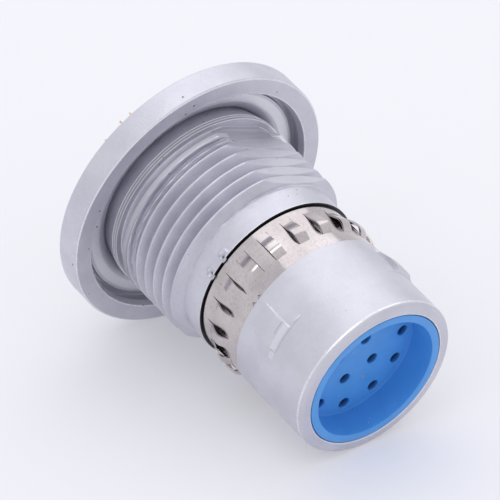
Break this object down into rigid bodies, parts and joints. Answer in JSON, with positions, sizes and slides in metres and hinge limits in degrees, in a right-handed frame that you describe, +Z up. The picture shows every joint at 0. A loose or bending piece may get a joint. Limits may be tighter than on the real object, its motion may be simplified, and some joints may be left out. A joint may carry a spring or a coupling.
{
  "type": "push pull circular connector",
  "caption": "Panel-mounted push-pull circular connector: flanged threaded barrel with flats, sprung grounding ring, keyed front shell and a blue insert with socket contacts.",
  "frame": {"origin": "centre of the flange face that seats on the panel, on the mating axis", "axes": "-Y along the mating axis out of the mouth, +Z up, flats and contact layout turned 67 degrees from +X towards +Z"},
  "size_m": [0.02, 0.0262, 0.02],
  "materials": {
    "body_metal": "satin nickel plate over a fine blast, with turning marks",
    "shell_metal": "satin nickel plate",
    "spring_metal": "bright nickel plate on spring sheet",
    "insulator_blue": "moulded, slightly satin",
    "seal_rubber": "moulded rubber",
    "contact_gold": "gold plate"
  },
  "bodies": {
    "root": {"flange_body": "body_metal", "front_shell": "shell_metal", "grounding_ring": "spring_metal", "front_insulator": "insulator_blue", "rear_insulator": "insulator_blue", "insert_seal": "seal_rubber", "retaining_nut": "body_metal", "contact_1": "contact_gold", "contact_2": "contact_gold", "contact_3": "contact_gold", "contact_4": "contact_gold", "contact_5": "contact_gold", "contact_6": "contact_gold", "contact_7": "contact_gold", "contact_8": "contact_gold", "contact_9": "contact_gold", "contact_10": "contact_gold", "contact_11": "contact_gold", "contact_12": "contact_gold", "contact_13": "contact_gold", "contact_14": "contact_gold"}
  },
  "joints": []
}
